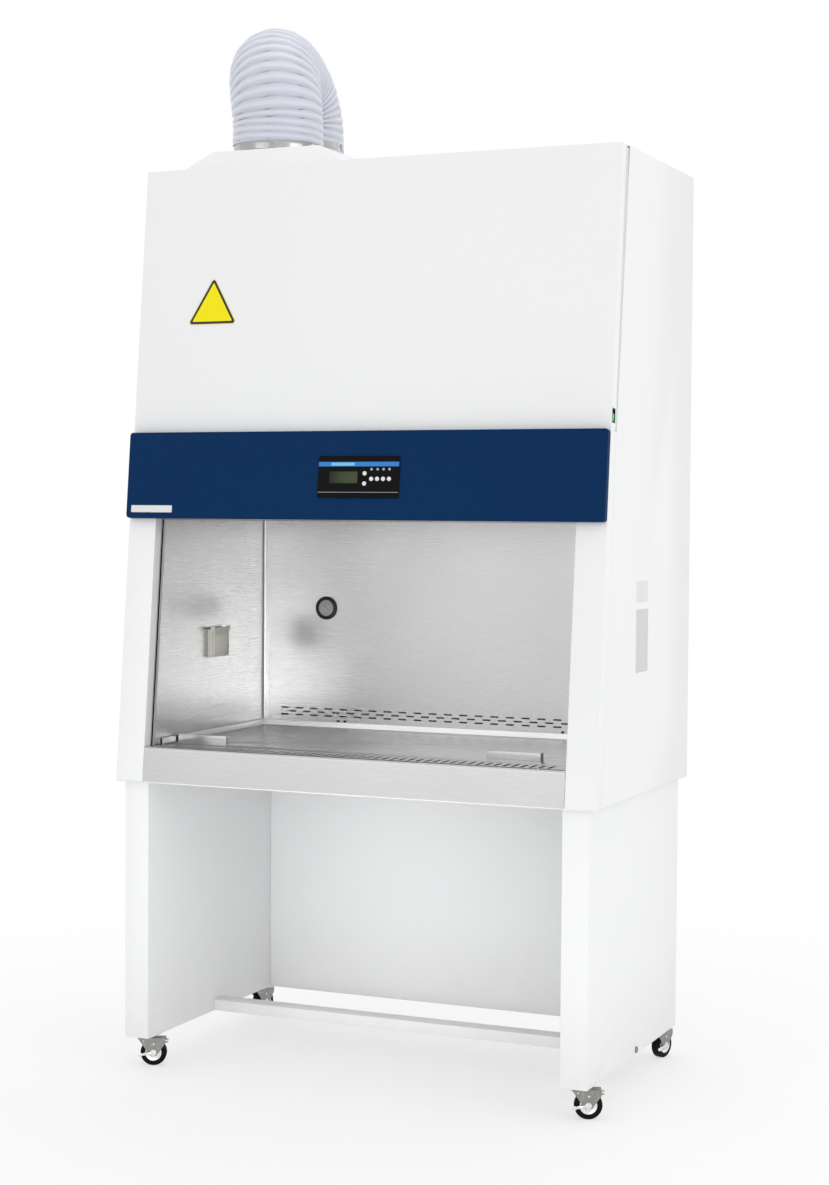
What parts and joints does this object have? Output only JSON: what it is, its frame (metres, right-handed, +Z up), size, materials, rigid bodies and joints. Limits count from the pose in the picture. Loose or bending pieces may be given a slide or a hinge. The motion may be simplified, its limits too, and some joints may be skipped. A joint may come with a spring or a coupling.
{
  "type": "biosafety cabinet",
  "caption": "Floor-standing biosafety cabinet with a sliding sash, brushed steel work chamber, exhaust duct and a wheeled stand.",
  "frame": {"origin": "on the floor, under the middle of the cabinet's plan", "axes": "+Z up, the open front faces -Y, +X is the viewer's right"},
  "size_m": [1.3423, 0.78, 2.828],
  "materials": {
    "white_paint": "powder coat, fine texture, semi-gloss",
    "navy_paint": "powder coat, fine speckle, semi-gloss",
    "black_paint": "matt black paint",
    "stainless": "horizontally brushed stainless steel",
    "sash_safety_glass": "clear laminated safety glass",
    "satin_aluminium": "satin anodised",
    "cast_weight": "painted casting",
    "galvanised_sheet": "galvanised sheet",
    "filter_pack": "pleated glass-fibre filter pack in a frame",
    "panel_black": "gloss black overlay",
    "button_white": "moulded white caps",
    "switch_black": "moulded black frame",
    "switch_green": "translucent green rocker",
    "port_rubber": "moulded black rubber",
    "outlet_olive": "moulded plastic",
    "cover_grey": "grey painted sheet",
    "duct_vinyl": "ribbed pale vinyl on a wire helix",
    "zinc_plate": "bright zinc plated pressings",
    "tyre_black": "moulded black tread"
  },
  "bodies": {
    "cabinet": {"side_panel_left": "white_paint", "side_panel_right": "white_paint", "rear_panel": "white_paint", "top_panel": "white_paint", "base_pan": "white_paint", "front_cover": "white_paint", "pillar_left": "white_paint", "pillar_right": "white_paint", "exhaust_hood": "white_paint", "stand_leg_left": "white_paint", "stand_leg_right": "white_paint", "stand_back_panel": "white_paint", "stand_crossbar": "white_paint", "lamp_fixture": "white_paint", "instrument_band": "navy_paint", "front_bulkhead": "black_paint", "sash_guides": "black_paint", "front_sill": "stainless", "inner_wall_left": "stainless", "inner_wall_right": "stainless", "inner_rear_wall": "stainless", "work_tray": "stainless", "tray_handles": "stainless", "front_grille": "stainless", "diffuser_grille": "stainless", "supply_fan_housing": "galvanised_sheet", "duct_end_collar": "galvanised_sheet", "supply_filter": "filter_pack", "exhaust_filter": "filter_pack", "control_panel": "panel_black", "power_switch_frame": "switch_black", "wall_port": "port_rubber", "outlet_box": "outlet_olive", "side_port_cover": "cover_grey", "flexible_duct": "duct_vinyl"},
    "sash": {"sash_glass": "sash_safety_glass", "sash_handle": "satin_aluminium"},
    "counterweights": {"sash_counterweights": "cast_weight"},
    "fan": {"fan_impeller": "satin_aluminium"},
    "power_switch": {"power_switch_rocker": "switch_green"},
    "outlet_lid": {"outlet_cover": "outlet_olive"},
    "damper": {"damper_blade": "satin_aluminium"},
    "key_1": {"button_1": "button_white"},
    "key_2": {"button_2": "button_white"},
    "key_3": {"button_3": "button_white"},
    "key_4": {"button_4": "button_white"},
    "key_5": {"button_5": "button_white"},
    "key_6": {"button_6": "button_white"},
    "caster_front_left": {"caster_fork_front_left": "zinc_plate"},
    "wheel_front_left": {"caster_wheel_front_left": "tyre_black"},
    "brake_front_left": {"caster_brake_front_left": "zinc_plate"},
    "caster_front_right": {"caster_fork_front_right": "zinc_plate"},
    "wheel_front_right": {"caster_wheel_front_right": "tyre_black"},
    "brake_front_right": {"caster_brake_front_right": "zinc_plate"},
    "caster_rear_left": {"caster_fork_rear_left": "zinc_plate"},
    "wheel_rear_left": {"caster_wheel_rear_left": "tyre_black"},
    "brake_rear_left": {"caster_brake_rear_left": "zinc_plate"},
    "caster_rear_right": {"caster_fork_rear_right": "zinc_plate"},
    "wheel_rear_right": {"caster_wheel_rear_right": "tyre_black"},
    "brake_rear_right": {"caster_brake_rear_right": "zinc_plate"}
  },
  "joints": [
    {"name": "sash_slide", "type": "slide", "parent": "cabinet", "child": "sash", "axis": [0, -0.0977, -0.9952], "range_m": [0, 0.6]},
    {"name": "counterweight_slide", "type": "slide", "parent": "cabinet", "child": "counterweights", "axis": [0, 0.0977, 0.9952], "range_m": [0, 0.6]},
    {"name": "fan_spin", "type": "hinge", "parent": "cabinet", "child": "fan", "pos_m": [0, 0.06, 1.86], "axis": [1, 0, 0], "continuous": true},
    {"name": "key_1_press", "type": "slide", "parent": "cabinet", "child": "key_1", "axis": [0, 0.9952, -0.0977], "range_m": [0, 0.0012], "stiffness_N_per_m": 900},
    {"name": "key_2_press", "type": "slide", "parent": "cabinet", "child": "key_2", "axis": [0, 0.9952, -0.0977], "range_m": [0, 0.0012], "stiffness_N_per_m": 900},
    {"name": "key_3_press", "type": "slide", "parent": "cabinet", "child": "key_3", "axis": [0, 0.9952, -0.0977], "range_m": [0, 0.0012], "stiffness_N_per_m": 900},
    {"name": "key_4_press", "type": "slide", "parent": "cabinet", "child": "key_4", "axis": [0, 0.9952, -0.0977], "range_m": [0, 0.0012], "stiffness_N_per_m": 900},
    {"name": "key_5_press", "type": "slide", "parent": "cabinet", "child": "key_5", "axis": [0, 0.9952, -0.0977], "range_m": [0, 0.0012], "stiffness_N_per_m": 900},
    {"name": "key_6_press", "type": "slide", "parent": "cabinet", "child": "key_6", "axis": [0, 0.9952, -0.0977], "range_m": [0, 0.0012], "stiffness_N_per_m": 900},
    {"name": "power_switch_rock", "type": "hinge", "parent": "cabinet", "child": "power_switch", "pos_m": [0.661, -0.27986, 1.72826], "axis": [0, 0.9952, -0.0977], "range_deg": [0, 16]},
    {"name": "outlet_lid_flip", "type": "hinge", "parent": "cabinet", "child": "outlet_lid", "pos_m": [-0.584, 0.031, 1.1595], "axis": [0, -1, 0], "range_deg": [0, 110]},
    {"name": "damper_turn", "type": "hinge", "parent": "cabinet", "child": "damper", "pos_m": [-0.38, -0.03, 2.467], "axis": [-1, 0, 0], "range_deg": [0, 90]},
    {"name": "swivel_front_left", "type": "hinge", "parent": "cabinet", "child": "caster_front_left", "pos_m": [-0.615, -0.323, 0.076], "axis": [0, 0, 1], "continuous": true},
    {"name": "roll_front_left", "type": "hinge", "parent": "caster_front_left", "child": "wheel_front_left", "pos_m": [-0.59659, -0.31518, 0.035], "axis": [-0.3907, 0.9205, 0], "continuous": true},
    {"name": "brake_front_left_press", "type": "hinge", "parent": "caster_front_left", "child": "brake_front_left", "pos_m": [-0.57174, -0.30464, 0.065], "axis": [-0.3907, 0.9205, 0], "range_deg": [0, 12]},
    {"name": "swivel_front_right", "type": "hinge", "parent": "cabinet", "child": "caster_front_right", "pos_m": [0.615, -0.323, 0.076], "axis": [0, 0, 1], "continuous": true},
    {"name": "roll_front_right", "type": "hinge", "parent": "caster_front_right", "child": "wheel_front_right", "pos_m": [0.63341, -0.31518, 0.035], "axis": [-0.3907, 0.9205, 0], "continuous": true},
    {"name": "brake_front_right_press", "type": "hinge", "parent": "caster_front_right", "child": "brake_front_right", "pos_m": [0.65826, -0.30464, 0.065], "axis": [-0.3907, 0.9205, 0], "range_deg": [0, 12]},
    {"name": "swivel_rear_left", "type": "hinge", "parent": "cabinet", "child": "caster_rear_left", "pos_m": [-0.615, 0.323, 0.076], "axis": [0, 0, 1], "continuous": true},
    {"name": "roll_rear_left", "type": "hinge", "parent": "caster_rear_left", "child": "wheel_rear_left", "pos_m": [-0.60915, 0.34213, 0.035], "axis": [-0.9563, 0.2924, 0], "continuous": true},
    {"name": "brake_rear_left_press", "type": "hinge", "parent": "caster_rear_left", "child": "brake_rear_left", "pos_m": [-0.60126, 0.36795, 0.065], "axis": [-0.9563, 0.2924, 0], "range_deg": [0, 12]},
    {"name": "swivel_rear_right", "type": "hinge", "parent": "cabinet", "child": "caster_rear_right", "pos_m": [0.615, 0.323, 0.076], "axis": [0, 0, 1], "continuous": true},
    {"name": "roll_rear_right", "type": "hinge", "parent": "caster_rear_right", "child": "wheel_rear_right", "pos_m": [0.62085, 0.34213, 0.035], "axis": [-0.9563, 0.2924, 0], "continuous": true},
    {"name": "brake_rear_right_press", "type": "hinge", "parent": "caster_rear_right", "child": "brake_rear_right", "pos_m": [0.62874, 0.36795, 0.065], "axis": [-0.9563, 0.2924, 0], "range_deg": [0, 12]}
  ],
  "couplings": [
    {"joint": "counterweight_slide", "follows": "sash_slide", "ratio": 1}
  ]
}
